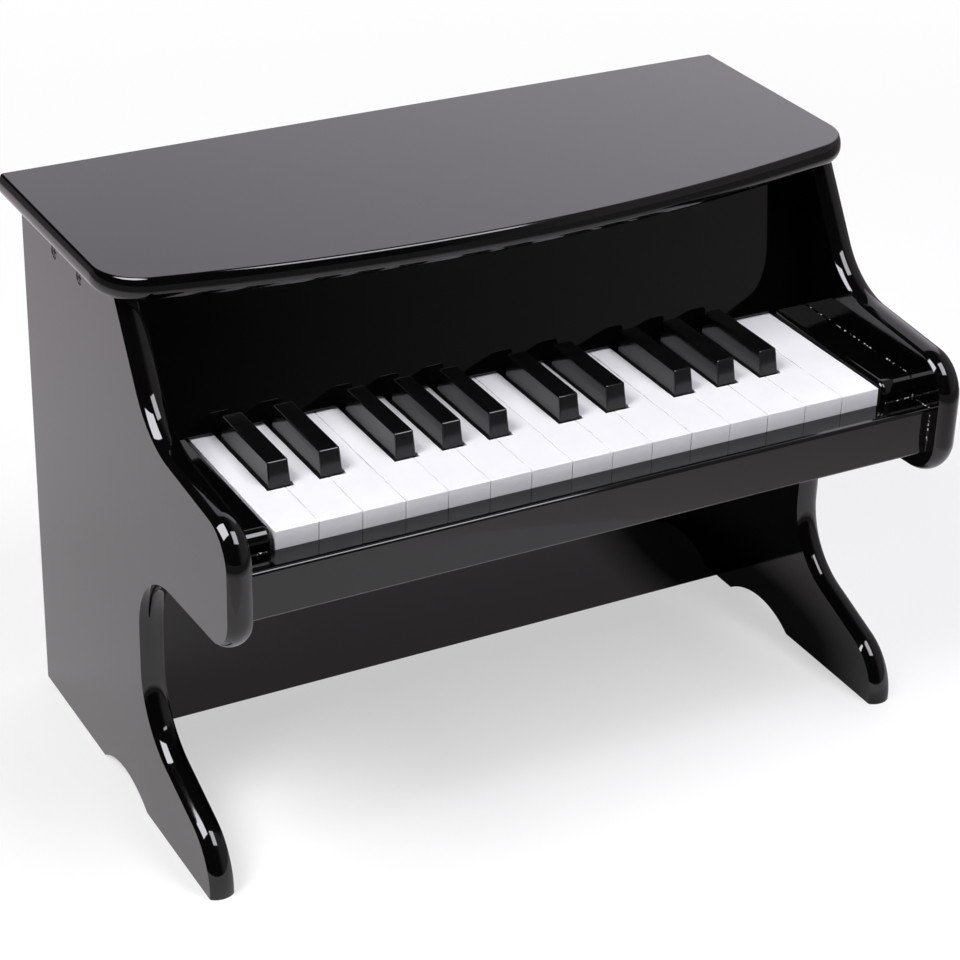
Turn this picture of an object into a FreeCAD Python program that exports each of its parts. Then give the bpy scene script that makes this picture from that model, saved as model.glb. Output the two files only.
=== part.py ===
import FreeCAD, Part
import math
import os

os.makedirs("parts", exist_ok=True)

# A wooden toy upright piano with two octaves and one note of keys, in millimetres.
# Z is up, the player sits on the -Y side, and the bass keys are on the -X side.
# The origin is on the floor, in the middle of the piano's width and depth.

# Notes from bass to treble: W is a white key, B a black one.
# Behind the white heads a group shares its width evenly.
note_groups = ("WBWBW", "WBWBWBW", "WBWBW", "WBWBWBW", "W")

# Keys
white_pitch = 21.2
white_gap = 0.5
white_head_length = 34.3
white_edge_radius = 0.6
key_thickness = 14.0
key_dip = 6.5
key_show_length = 91.0
pivot_setback = 7.0
tail_length = 98.0
tail_clearance = 10.0
black_gap = 0.8
black_lever_drop = 2.0
black_cap_rise = 12.0
black_cap_side_taper = 0.55
black_cap_front_slope = 1.5
black_cap_back_slope = 0.8
black_cap_edge_radius = 0.9
black_cap_end_gap = 2.5

# Hammer heads on the key tails
hammer_width = 9.0
hammer_depth = 10.0
hammer_rise = 16.0
hammer_setback = 24.0
strike_gap = 0.4

# Tone rods in their block
rod_diameter = 4.0
rod_longest = 68.0
rod_seat_depth = 12.0
rod_seat_clearance = 0.1
rod_octave_length_share = 2 ** -0.5
tone_block_depth = 19.0
tone_block_height = 20.0
tone_block_end_margin = 6.0
tone_block_edge_radius = 2.0

# Key bed, rails, pins and felts
bed_underside_height = 157.1
bed_thickness = 9.0
rest_gap = 0.3
balance_rail_width = 10.0
back_rail_width = 14.0
back_rail_end_setback = 4.0
back_felt_thickness = 2.0
felt_width = 7.0
white_felt_thickness = 2.5
white_felt_setback = 4.0
black_felt_setback = 2.0
pin_diameter = 2.5
pin_seat_depth = 6.0
pin_seat_clearance = 0.1
pin_side_clearance = 0.3
pin_swing_room = 1.3
balance_pin_rise = 10.0
front_pin_setback = 16.0
front_pin_rise = 2.5
mortise_room = 1.0

# Front rail and cheek blocks
slip_thickness = 14.2
slip_drop = 8.3
slip_upper_radius = 6.0
slip_lower_radius = 1.5
slip_key_gap = 1.2
cheek_width = 18.8
cheek_gap = 1.2
cheek_rise = 2.0
cheek_front_radius = 6.0
cheek_side_radius = 2.5

# Fall board, knee board and back
fall_lean_angle = 19.5
fall_thickness = 9.0
fall_gap = 1.5
fall_rise = 77.6
knee_thickness = 9.0
knee_floor_gap = 0.8
knee_back_setback = 67.6
back_thickness = 5.0
back_inset = 4.0
back_cleat_width = 11.0
back_cleat_depth = 12.0
back_cleat_top_drop = 25.0

# Side panels. Heights of the arm follow the keys and the bed, the leg is measured from the floor.
panel_thickness = 12.0
panel_edge_radius = 4.0
nose_reach = 8.1
nose_upper_radius = 21.8
nose_lower_radius = 19.5
arm_front_rise = 16.5
arm_back_rise = 23.3
arm_front_drop = 12.6
arm_back_drop = 17.3
brow_setback = 119.1
sweep_setback = 85.4
sweep_radius = 41.7
notch_radius = 38.5
leg_setback = 102.8
leg_bend_height = 53.8
leg_bend_radius = 40.0
toe_setback = 25.9
toe_lean = -1.4
toe_height = 23.4
toe_radius = 32.0
rear_foot_length = 80.5
arch_span = 54.2
arch_height = 8.7

# Top board and its cleats
top_thickness = 12.0
top_side_overhang = 8.4
top_back_overhang = 5.7
top_front_setback = 86.5
top_bow = 24.5
top_bow_shift = -10.0
top_corner_radius = 25.5
top_upper_radius = 1.8
top_lower_radius = 4.7
top_cleat_width = 14.0
top_cleat_height = 19.6
top_cleat_length = 64.0
top_cleat_fall_gap = 3.0

# Countersunk wood screws
screw_shank_diameter = 3.4
screw_head_diameter = 6.6
screw_head_height = 2.2
screw_clearance = 0.15
screw_sink = 0.3
cleat_screw_length = 21.0
cleat_screw_end_margin = 9.0
cleat_screw_spacing = 31.7
top_screw_length = 26.0
top_screw_end_margin = 20.0
back_screw_length = 14.0
back_screw_end_margin = 12.0
back_screw_count = 3
block_screw_length = 11.0
block_screw_end_margin = 30.0
block_screw_count = 3
block_screw_rise = 6.0

# One length by which every cut runs past the face that it opens.
cut_overrun = 1.0
# Two coordinates closer than this are the same place.
same_place = 1e-6

# Heights, from the floor up
bed_top = bed_underside_height + bed_thickness
key_bottom = bed_top + white_felt_thickness + rest_gap + key_dip
key_top = key_bottom + key_thickness
panel_top = key_top + fall_rise
slip_top = key_top - slip_drop
lever_top = key_top - black_lever_drop
pivot_z = key_bottom - rest_gap

# Depths, from the nose of the side panels back, with the middle of the whole depth at zero
front_lever_length = key_show_length + pivot_setback
panel_depth = (nose_reach + slip_thickness + slip_key_gap + front_lever_length
               + tail_length + tail_clearance + back_thickness + back_inset)
case_depth = panel_depth + top_back_overhang
panel_front_y = -case_depth / 2
panel_back_y = panel_front_y + panel_depth
slip_front_y = panel_front_y + nose_reach
slip_back_y = slip_front_y + slip_thickness
key_front_y = slip_back_y + slip_key_gap
fall_front_y = key_front_y + key_show_length
pivot_y = key_front_y + front_lever_length
tail_end_y = pivot_y + tail_length
back_front_y = tail_end_y + tail_clearance
back_rear_y = back_front_y + back_thickness
knee_front_y = panel_back_y - knee_back_setback
top_front_y = panel_front_y + top_front_setback
top_back_y = panel_back_y + top_back_overhang

# Widths, from the middle out
white_count = "".join(note_groups).count("W")
keys_half_width = white_count * white_pitch / 2
cheek_inner_x = keys_half_width + cheek_gap
inner_half_width = cheek_inner_x + cheek_width
outer_half_width = inner_half_width + panel_thickness
top_half_width = outer_half_width + top_side_overhang

# A pressed key turns until its front edge has gone down by the dip.
press_slope = key_dip / front_lever_length
press_angle = math.degrees(math.atan(press_slope))
fall_slope = math.tan(math.radians(fall_lean_angle))
fall_depth = fall_thickness / math.cos(math.radians(fall_lean_angle))

# Every hammer stops just short of its rod when its key is down.
hammer_y = tail_end_y - hammer_setback
hammer_top = key_top + hammer_rise
rod_z = hammer_top + (hammer_y - pivot_y) * press_slope + strike_gap + rod_diameter / 2
tone_block_front_y = back_front_y - tone_block_depth

along_x = FreeCAD.Vector(1, 0, 0)
along_y = FreeCAD.Vector(0, 1, 0)
along_z = FreeCAD.Vector(0, 0, 1)


# A block between two corners given axis by axis.
def block(x_from, x_to, y_from, y_to, z_from, z_to):
    corner = FreeCAD.Vector(x_from, y_from, z_from)
    return Part.makeBox(x_to - x_from, y_to - y_from, z_to - z_from, corner)


def save(name, shape):
    shape.exportStep("parts/" + name + ".step")


def save_group(name, solids):
    save(name, Part.Compound(solids))


def mirror_x(shape):
    return shape.mirror(FreeCAD.Vector(0, 0, 0), along_x)


# The edges of a shape whose middle and ends all pass a test on their points.
def edges_where(shape, test):
    found = []
    for edge in shape.Edges:
        middle = edge.valueAt((edge.FirstParameter + edge.LastParameter) / 2)
        points = [middle] + [vertex.Point for vertex in edge.Vertexes]
        if all(test(point) for point in points):
            found.append(edge)
    return found


def near(value, target):
    return abs(value - target) < same_place


# A prism along X from corners in the YZ plane.
def prism_along_x(corners, x_from, x_to):
    points = [FreeCAD.Vector(x_from, y, z) for y, z in corners]
    face = Part.Face(Part.makePolygon(points + points[:1]))
    return face.extrude(along_x * (x_to - x_from))


# Lines and tangent arcs through a row of corners, each given as a point and a radius.
# A radius gives way where its two sides are too short for it.
def rounded_edges(corners):
    edges = []
    start = corners[0][0]
    for index in range(1, len(corners) - 1):
        corner, radius = corners[index]
        before = corners[index - 1][0] - corner
        after = corners[index + 1][0] - corner
        half_turn = (math.pi - before.getAngle(after)) / 2
        before_room = before.Length / 2 if index > 1 else before.Length
        after_room = after.Length / 2 if index < len(corners) - 2 else after.Length
        room = min(before_room, after_room)
        reach = min(radius * math.tan(half_turn), room)
        radius = reach / math.tan(half_turn)
        arc_from = corner + before.normalize() * reach
        arc_to = corner + after.normalize() * reach
        towards_centre = (before + after).normalize()
        arc_middle = corner + towards_centre * (radius / math.cos(half_turn) - radius)
        edges.append(Part.makeLine(start, arc_from))
        edges.append(Part.Arc(arc_from, arc_middle, arc_to).toShape())
        start = arc_to
    edges.append(Part.makeLine(start, corners[-1][0]))
    return edges


# A countersunk screw whose head is at a point and whose shank runs along a direction.
def screw(head_at, direction, length, extra=0.0):
    head_radius = screw_head_diameter / 2 + extra
    shank_radius = screw_shank_diameter / 2 + extra
    head = Part.makeCone(head_radius, shank_radius, screw_head_height, head_at, direction)
    shank_from = head_at + direction * screw_head_height
    shank = Part.makeCylinder(shank_radius, length - screw_head_height + extra, shank_from, direction)
    return head.fuse(shank).removeSplitter()


# The hole for a screw, opened outwards past the face.
def screw_hole(head_at, direction, length):
    mouth_radius = screw_head_diameter / 2 + screw_clearance
    mouth = Part.makeCylinder(mouth_radius, screw_sink + cut_overrun, head_at, direction * -1)
    return screw(head_at, direction, length, screw_clearance).fuse(mouth)


def cut_screw_holes(shape, places, direction, length):
    for place in places:
        shape = shape.cut(screw_hole(place, direction, length))
    return shape


# The side panels, cut from one outline: brow, sweep, arm, nose, notch, leg, toe, arch and rear foot.
def panel_outline(x):
    def corner(setback, height, radius=0.0):
        return (FreeCAD.Vector(x, panel_front_y + setback, height), radius)

    front = [
        corner(brow_setback, panel_top),
        corner(sweep_setback, key_top + arm_back_rise, sweep_radius),
        corner(0, key_top + arm_front_rise, nose_upper_radius),
        corner(0, bed_underside_height - arm_front_drop, nose_lower_radius),
        corner(leg_setback, bed_underside_height - arm_back_drop, notch_radius),
        corner(leg_setback, leg_bend_height, leg_bend_radius),
        corner(toe_setback + toe_lean, toe_height, toe_radius),
        corner(toe_setback, 0),
    ]
    arch_back_y = panel_back_y - rear_foot_length
    arch_front = FreeCAD.Vector(x, arch_back_y - arch_span, 0)
    arch_crown = FreeCAD.Vector(x, arch_back_y - arch_span / 2, arch_height)
    arch_back = FreeCAD.Vector(x, arch_back_y, 0)
    heel = FreeCAD.Vector(x, panel_back_y, 0)
    back_top = FreeCAD.Vector(x, panel_back_y, panel_top)
    edges = rounded_edges(front)
    edges.append(Part.makeLine(front[-1][0], arch_front))
    edges.append(Part.Arc(arch_front, arch_crown, arch_back).toShape())
    edges.append(Part.makeLine(arch_back, heel))
    edges.append(Part.makeLine(heel, back_top))
    edges.append(Part.makeLine(back_top, front[0][0]))
    return Part.Wire(edges)


def make_panel():
    board = Part.Face(panel_outline(inner_half_width)).extrude(along_x * panel_thickness)

    def on_front(point):
        on_face = near(point.x, inner_half_width) or near(point.x, outer_half_width)
        at_toe = near(point.y, panel_front_y + toe_setback)
        return on_face and point.y < panel_back_y and (point.z > 0 or at_toe)

    def is_contour(edge):
        ends = [vertex.Point for vertex in edge.Vertexes]
        on_top = all(near(point.z, panel_top) for point in ends)
        on_floor = all(near(point.z, 0) for point in ends)
        return not on_top and not on_floor

    contour = [edge for edge in edges_where(board, on_front) if is_contour(edge)]
    return board.makeFillet(panel_edge_radius, contour)


# Places of the screws that show on the outside of a panel, at the middle height of the cleat.
top_cleat_front_y = fall_front_y + fall_rise * fall_slope + fall_depth + top_cleat_fall_gap
cleat_screw_z = panel_top - top_cleat_height / 2
cleat_screw_places = []
for step in range(2):
    screw_y = top_cleat_front_y + cleat_screw_end_margin + step * cleat_screw_spacing
    cleat_screw_places.append(FreeCAD.Vector(outer_half_width - screw_sink, screw_y, cleat_screw_z))

panel = cut_screw_holes(make_panel(), cleat_screw_places, along_x * -1, cleat_screw_length)
save("side_panel_right", panel)
save("side_panel_left", mirror_x(panel))

cleat_screws = [screw(place, along_x * -1, cleat_screw_length) for place in cleat_screw_places]
save_group("top_cleat_screws", cleat_screws + [mirror_x(solid) for solid in cleat_screws])

# The cleats under the top board take the side screws, and screws that go up into the board.
top_cleat = block(inner_half_width - top_cleat_width, inner_half_width, top_cleat_front_y,
                  top_cleat_front_y + top_cleat_length, panel_top - top_cleat_height, panel_top)
top_screw_places = []
for screw_y in (top_cleat_front_y + top_screw_end_margin,
                top_cleat_front_y + top_cleat_length - top_screw_end_margin / 2):
    top_screw_places.append(FreeCAD.Vector(inner_half_width - top_cleat_width / 2, screw_y,
                                           panel_top - top_cleat_height + screw_sink))
top_cleat = cut_screw_holes(top_cleat, cleat_screw_places, along_x * -1, cleat_screw_length)
top_cleat = cut_screw_holes(top_cleat, top_screw_places, along_z, top_screw_length)
save("top_cleat_right", top_cleat)
save("top_cleat_left", mirror_x(top_cleat))
top_screws = [screw(place, along_z, top_screw_length) for place in top_screw_places]
save_group("top_board_screws", top_screws + [mirror_x(solid) for solid in top_screws])


# The top board has a front bowed to a large circle, rounded front corners,
# and edges rounded all round but at the back, the lower ones more than the upper ones.
def make_top_board():
    top = panel_top + top_thickness
    board = block(-top_half_width, top_half_width, top_front_y, top_back_y, panel_top, top)
    bow_radius = (top_half_width ** 2 + top_bow ** 2) / (2 * top_bow)
    bow_centre = FreeCAD.Vector(top_bow_shift, top_front_y + bow_radius, panel_top)
    board = board.common(Part.makeCylinder(bow_radius, top_thickness, bow_centre))

    def on_side(point):
        return near(abs(point.x), top_half_width) and not near(point.y, top_back_y)

    front_corners = [edge for edge in edges_where(board, on_side) if near(edge.Length, top_thickness)]
    board = board.makeFillet(top_corner_radius, front_corners)

    for height, radius in ((top, top_upper_radius), (panel_top, top_lower_radius)):
        rim = []
        for edge in edges_where(board, lambda point: near(point.z, height)):
            if not all(near(vertex.Point.y, top_back_y) for vertex in edge.Vertexes):
                rim.append(edge)
        board = board.makeFillet(radius, rim)
    return board


def mirrored_places(places):
    return [FreeCAD.Vector(-place.x, place.y, place.z) for place in places]


top_board = cut_screw_holes(make_top_board(), top_screw_places + mirrored_places(top_screw_places),
                            along_z, top_screw_length)
save("top_board", top_board)

# The fall board leans back from just above the keys to the top board.
fall_bottom_z = key_top + fall_gap
fall_corners = []
for height in (fall_gap, fall_rise):
    fall_corners.append((fall_front_y + height * fall_slope, key_top + height))
fall_corners.append((fall_corners[1][0] + fall_depth, panel_top))
fall_corners.append((fall_corners[0][0] + fall_depth, fall_bottom_z))
save("fall_board", prism_along_x(fall_corners, -inner_half_width, inner_half_width))

save("knee_board", block(-inner_half_width, inner_half_width, knee_front_y, knee_front_y + knee_thickness,
                         knee_floor_gap, bed_underside_height))

# The front rail, with its upper front edge rounded more than the lower one.
slip = block(-inner_half_width, inner_half_width, slip_front_y, slip_back_y, bed_underside_height, slip_top)
for height, radius in ((slip_top, slip_upper_radius), (bed_underside_height, slip_lower_radius)):
    front_edge = edges_where(slip, lambda point: near(point.y, slip_front_y) and near(point.z, height))
    slip = slip.makeFillet(radius, front_edge)
save("key_slip", slip)

# The cheek blocks fill the space between the end keys and the panels.
cheek_top = key_top + cheek_rise
cheek = block(cheek_inner_x, inner_half_width, slip_back_y, fall_front_y, bed_top, cheek_top)
cheek_front_edge = edges_where(cheek, lambda point: near(point.y, slip_back_y) and near(point.z, cheek_top))
cheek = cheek.makeFillet(cheek_front_radius, cheek_front_edge)


# The rim of the face beside the end key, from the foot of its front edge over the top to the fall board.
def on_cheek_rim(point):
    return near(point.x, cheek_inner_x)


cheek_rim = [edge for edge in edges_where(cheek, on_cheek_rim)
             if not near(edge.BoundBox.ZMax, bed_top) and not near(edge.BoundBox.YMin, fall_front_y)]
cheek = cheek.makeFillet(cheek_side_radius, cheek_rim)
save("cheek_block_right", cheek)
save("cheek_block_left", mirror_x(cheek))

# Keys. Each note has a slot for its lever, and a white key also has its wide head.
mortise_width = pin_diameter + 2 * pin_side_clearance
mortise_length = pin_diameter + 2 * pin_swing_room
black_front_y = key_front_y + white_head_length + black_gap
cap_back_y = fall_front_y - black_cap_end_gap
black_pin_y = black_front_y + front_pin_setback
white_pin_y = key_front_y + front_pin_setback


# The slot that a pin stands in, open at the underside of a key.
def mortise(x, y, depth):
    return block(x - mortise_width / 2, x + mortise_width / 2, y - mortise_length / 2, y + mortise_length / 2,
                 key_bottom - cut_overrun, key_bottom + depth)


def cut_mortises(lever, slot_middle, front_pin_x, front_pin_y):
    pin_travel = (pivot_y - front_pin_y) * press_slope
    lever = lever.cut(mortise(slot_middle, pivot_y, key_thickness + cut_overrun))
    return lever.cut(mortise(front_pin_x, front_pin_y, front_pin_rise + pin_travel + mortise_room))


# The hammer head stands on the tail and has a half-round striking edge.
def make_hammer(x, seat_z):
    half_depth = hammer_depth / 2
    post = block(x - hammer_width / 2, x + hammer_width / 2, hammer_y - half_depth, hammer_y + half_depth,
                 seat_z, hammer_top - half_depth)
    crown_from = FreeCAD.Vector(x - hammer_width / 2, hammer_y, hammer_top - half_depth)
    crown = Part.makeCylinder(half_depth, hammer_width, crown_from, along_x)
    return post.fuse(crown).removeSplitter()


def make_white_key(head_left, slot_left, slot_width):
    head_from = head_left + white_gap / 2
    head_to = head_left + white_pitch - white_gap / 2
    tail_from = slot_left + white_gap / 2
    tail_to = slot_left + slot_width - white_gap / 2
    head_back_y = key_front_y + white_head_length
    plan = [(head_from, key_front_y), (head_to, key_front_y), (head_to, head_back_y),
            (tail_to, head_back_y), (tail_to, tail_end_y), (tail_from, tail_end_y),
            (tail_from, head_back_y), (head_from, head_back_y)]
    corners = []
    for x, y in plan:
        corner = FreeCAD.Vector(x, y, key_bottom)
        if not any(corner.isEqual(other, white_gap / 2) for other in corners):
            corners.append(corner)
    underside = Part.Face(Part.makePolygon(corners + corners[:1]))
    lever = underside.extrude(along_z * key_thickness).removeSplitter()
    front_edges = edges_where(lever, lambda point: near(point.y, key_front_y) and near(point.z, key_top))
    lever = lever.makeFillet(white_edge_radius, front_edges)
    slot_middle = slot_left + slot_width / 2
    lever = cut_mortises(lever, slot_middle, head_left + white_pitch / 2, white_pin_y)
    return Part.Compound([lever, make_hammer(slot_middle, key_top)])


def make_black_cap(left, right):
    def ring(inset, front_y, back_y, z):
        points = [FreeCAD.Vector(left + inset, front_y, z), FreeCAD.Vector(right - inset, front_y, z),
                  FreeCAD.Vector(right - inset, back_y, z), FreeCAD.Vector(left + inset, back_y, z)]
        return Part.makePolygon(points + points[:1])

    cap_top = key_top + black_cap_rise
    foot = ring(0, black_front_y, cap_back_y, lever_top)
    crown = ring(black_cap_side_taper, black_front_y + black_cap_front_slope,
                 cap_back_y - black_cap_back_slope, cap_top)
    cap = Part.makeLoft([foot, crown], True, True)
    upper_edges = [edge for edge in cap.Edges if near(edge.BoundBox.ZMin, cap_top)]
    return cap.makeFillet(black_cap_edge_radius, upper_edges)


def make_black_key(slot_left, slot_width):
    left = slot_left + black_gap
    right = slot_left + slot_width - black_gap
    slot_middle = slot_left + slot_width / 2
    lever = block(left, right, black_front_y, tail_end_y, key_bottom, lever_top)
    lever = cut_mortises(lever, slot_middle, slot_middle, black_pin_y)
    return Part.Compound([lever, make_black_cap(left, right), make_hammer(slot_middle, lever_top)])


white_number = 0
black_number = 0
balance_pin_places = []
front_pin_places = []
rod_places = []
for group in note_groups:
    group_left = -keys_half_width + white_number * white_pitch
    slot_width = group.count("W") * white_pitch / len(group)
    for index, colour in enumerate(group):
        slot_left = group_left + index * slot_width
        slot_middle = slot_left + slot_width / 2
        if colour == "W":
            head_left = -keys_half_width + white_number * white_pitch
            white_number += 1
            save("white_key_%02d" % white_number, make_white_key(head_left, slot_left, slot_width))
            front_pin_places.append((head_left + white_pitch / 2, white_pin_y))
        else:
            black_number += 1
            save("black_key_%02d" % black_number, make_black_key(slot_left, slot_width))
            front_pin_places.append((slot_middle, black_pin_y))
        balance_pin_places.append((slot_middle, pivot_y))
        rod_places.append(slot_middle)


# Upright pins, and the holes that they are driven into.
def make_pins(places, foot_z, pin_top, extra=0.0):
    radius = pin_diameter / 2 + extra
    pins = []
    for x, y in places:
        pins.append(Part.makeCylinder(radius, pin_top - foot_z, FreeCAD.Vector(x, y, foot_z), along_z))
    return pins


front_pin_foot = bed_top - pin_seat_depth
front_pin_top = key_bottom + front_pin_rise
save_group("front_guide_pins", make_pins(front_pin_places, front_pin_foot, front_pin_top))
bed = block(-inner_half_width, inner_half_width, slip_back_y, back_front_y, bed_underside_height, bed_top)
bed = bed.cut(Part.Compound(
    make_pins(front_pin_places, front_pin_foot, bed_top + cut_overrun, pin_seat_clearance)))
save("key_bed", bed)

# The balance rail has a round crest that the keys rock on.
crest_radius = balance_rail_width / 2
rail_shoulder_z = pivot_z - crest_radius
rail_front = FreeCAD.Vector(-keys_half_width, pivot_y - crest_radius, rail_shoulder_z)
rail_crest = FreeCAD.Vector(-keys_half_width, pivot_y, pivot_z)
rail_back = FreeCAD.Vector(-keys_half_width, pivot_y + crest_radius, rail_shoulder_z)
rail_foot_back = FreeCAD.Vector(-keys_half_width, pivot_y + crest_radius, bed_top)
rail_foot_front = FreeCAD.Vector(-keys_half_width, pivot_y - crest_radius, bed_top)
rail_outline = Part.Wire([
    Part.Arc(rail_front, rail_crest, rail_back).toShape(),
    Part.makeLine(rail_back, rail_foot_back),
    Part.makeLine(rail_foot_back, rail_foot_front),
    Part.makeLine(rail_foot_front, rail_front),
])
balance_rail = Part.Face(rail_outline).extrude(along_x * (2 * keys_half_width))
balance_pin_foot = pivot_z - pin_seat_depth
balance_pin_top = key_bottom + balance_pin_rise
save_group("balance_pins", make_pins(balance_pin_places, balance_pin_foot, balance_pin_top))
balance_rail = balance_rail.cut(Part.Compound(
    make_pins(balance_pin_places, balance_pin_foot, pivot_z + cut_overrun, pin_seat_clearance)))
save("balance_rail", balance_rail)

# The tails rest on the felt of the back rail.
back_rail_back_y = tail_end_y - back_rail_end_setback
back_rail_front_y = back_rail_back_y - back_rail_width
back_felt_top = key_bottom - rest_gap


# A strip as long as the keyboard.
def key_strip(y_from, y_to, z_from, z_to):
    return block(-keys_half_width, keys_half_width, y_from, y_to, z_from, z_to)


back_rail_top = back_felt_top - back_felt_thickness
save("back_rail", key_strip(back_rail_front_y, back_rail_back_y, bed_top, back_rail_top))
save("back_felt", key_strip(back_rail_front_y, back_rail_back_y, back_rail_top, back_felt_top))

# The fronts of the pressed keys land on two strips of felt.
white_felt_front_y = key_front_y + white_felt_setback
white_felt_top = bed_top + white_felt_thickness
white_felt_back_y = white_felt_front_y + felt_width
save("white_key_felt", key_strip(white_felt_front_y, white_felt_back_y, bed_top, white_felt_top))
black_felt_front_y = black_front_y + black_felt_setback
black_felt_top = key_bottom - (pivot_y - black_felt_front_y) * press_slope - rest_gap
black_felt_back_y = black_felt_front_y + felt_width
save("black_key_felt", key_strip(black_felt_front_y, black_felt_back_y, bed_top, black_felt_top))

# One steel rod for each note.
# A rod sounds an octave higher when its length goes down by the square root of two.
rods = []
rod_seats = []
for semitone, x in enumerate(rod_places):
    free_length = rod_longest * rod_octave_length_share ** (semitone / 12)
    rod_front = FreeCAD.Vector(x, tone_block_front_y - free_length, rod_z)
    rods.append(Part.makeCylinder(rod_diameter / 2, free_length + rod_seat_depth, rod_front, along_y))
    seat_from = FreeCAD.Vector(x, tone_block_front_y - cut_overrun, rod_z)
    rod_seats.append(Part.makeCylinder(rod_diameter / 2 + rod_seat_clearance, rod_seat_depth + cut_overrun,
                                       seat_from, along_y))
save_group("tone_rods", rods)

# The tone block is screwed on through the back panel, above the rods.
block_half_length = max(abs(x) for x in rod_places) + rod_diameter / 2 + tone_block_end_margin
tone_block = block(-block_half_length, block_half_length, tone_block_front_y, back_front_y,
                   rod_z - tone_block_height / 2, rod_z + tone_block_height / 2)
long_edges = edges_where(tone_block, lambda point: near(point.y, tone_block_front_y))
tone_block = tone_block.makeFillet(tone_block_edge_radius,
                                   [edge for edge in long_edges if edge.Length > tone_block_height])
tone_block = tone_block.cut(Part.Compound(rod_seats))
block_screw_places = []
block_screw_reach = block_half_length - block_screw_end_margin
for step in range(block_screw_count):
    screw_x = -block_screw_reach + step * 2 * block_screw_reach / (block_screw_count - 1)
    block_screw_places.append(FreeCAD.Vector(screw_x, back_rear_y - screw_sink, rod_z + block_screw_rise))
tone_block = cut_screw_holes(tone_block, block_screw_places, along_y * -1, block_screw_length)
save("tone_block", tone_block)
block_screws = [screw(place, along_y * -1, block_screw_length) for place in block_screw_places]
save_group("tone_block_screws", block_screws)

# The back panel sits between the side panels and is screwed to a cleat on each of them.
cleat_top_z = panel_top - back_cleat_top_drop
back_cleat = block(inner_half_width - back_cleat_width, inner_half_width, back_front_y - back_cleat_depth,
                   back_front_y, bed_top, cleat_top_z)
back_screw_places = []
back_screw_low_z = bed_top + back_screw_end_margin
back_screw_step = (cleat_top_z - back_screw_end_margin - back_screw_low_z) / (back_screw_count - 1)
for step in range(back_screw_count):
    back_screw_places.append(FreeCAD.Vector(inner_half_width - back_cleat_width / 2, back_rear_y - screw_sink,
                                            back_screw_low_z + step * back_screw_step))
back_cleat = cut_screw_holes(back_cleat, back_screw_places, along_y * -1, back_screw_length)
save("back_cleat_right", back_cleat)
save("back_cleat_left", mirror_x(back_cleat))
back_screws = [screw(place, along_y * -1, back_screw_length) for place in back_screw_places]
save_group("back_panel_screws", back_screws + [mirror_x(solid) for solid in back_screws])

back_panel = block(-inner_half_width, inner_half_width, back_front_y, back_rear_y,
                   bed_underside_height, panel_top)
back_panel = cut_screw_holes(back_panel, back_screw_places + mirrored_places(back_screw_places),
                             along_y * -1, back_screw_length)
back_panel = cut_screw_holes(back_panel, block_screw_places, along_y * -1, block_screw_length)
save("back_panel", back_panel)

print("width %.1f depth %.1f height %.1f" % (2 * top_half_width, case_depth, panel_top + top_thickness))
print("key axis y %.3f z %.3f press angle %.3f degrees" % (pivot_y, pivot_z, press_angle))
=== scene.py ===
import bmesh
import bpy
import math
import random
from mathutils import Matrix, Vector


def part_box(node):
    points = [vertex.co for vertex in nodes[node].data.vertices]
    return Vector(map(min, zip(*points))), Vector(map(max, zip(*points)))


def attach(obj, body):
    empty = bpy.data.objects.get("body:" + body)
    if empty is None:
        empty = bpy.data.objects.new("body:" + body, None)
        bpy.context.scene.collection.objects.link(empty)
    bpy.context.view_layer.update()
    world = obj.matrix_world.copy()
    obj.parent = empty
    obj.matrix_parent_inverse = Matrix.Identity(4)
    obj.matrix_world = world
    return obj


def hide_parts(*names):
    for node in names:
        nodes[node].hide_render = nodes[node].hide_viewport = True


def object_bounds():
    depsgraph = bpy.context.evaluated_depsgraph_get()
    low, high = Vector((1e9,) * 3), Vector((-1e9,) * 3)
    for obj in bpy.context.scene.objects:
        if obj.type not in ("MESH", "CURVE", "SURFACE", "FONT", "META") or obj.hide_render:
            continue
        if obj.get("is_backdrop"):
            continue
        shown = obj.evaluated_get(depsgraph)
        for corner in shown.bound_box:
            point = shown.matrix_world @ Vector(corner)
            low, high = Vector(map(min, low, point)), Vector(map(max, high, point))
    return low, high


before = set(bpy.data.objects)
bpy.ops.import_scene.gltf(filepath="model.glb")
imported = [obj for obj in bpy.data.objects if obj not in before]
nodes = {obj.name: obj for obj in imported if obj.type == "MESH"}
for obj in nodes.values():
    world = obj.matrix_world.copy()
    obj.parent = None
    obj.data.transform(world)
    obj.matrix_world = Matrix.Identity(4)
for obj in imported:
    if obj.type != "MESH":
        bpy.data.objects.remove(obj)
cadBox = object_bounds()
mm = 0.001
tiny = 0.05 * mm  # two places closer than this are the same
weld = tiny / 10  # vertices closer than this become one
acrossX = Vector((1, 0, 0))
intoY = Vector((0, 1, 0))
upZ = Vector((0, 0, 1))


# Colours and nodes

def toLinear(hexText):
    shades = [int(hexText[i:i + 2], 16) / 255 for i in (1, 3, 5)]
    return tuple(s / 12.92 if s <= 0.04045 else ((s + 0.055) / 1.055) ** 2.4 for s in shades) + (1.0,)


def addNode(tree, kind, settings={}, links={}):
    node = tree.nodes.new(kind)
    for name, value in settings.items():
        if isinstance(name, int) or name in node.inputs:
            node.inputs[name].default_value = value
        else:
            setattr(node, name, value)
    for name, source in links.items():
        tree.links.new(source, node.inputs[name])
    return node


def newMaterial(name):
    material = bpy.data.materials.new(name)
    material.use_nodes = True
    tree = material.node_tree
    place = addNode(tree, "ShaderNodeTexCoord").outputs["Object"]
    return material, tree, tree.nodes["Principled BSDF"], place


def perMetre(sizeMm):
    return 1 / (sizeMm * mm)


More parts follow.
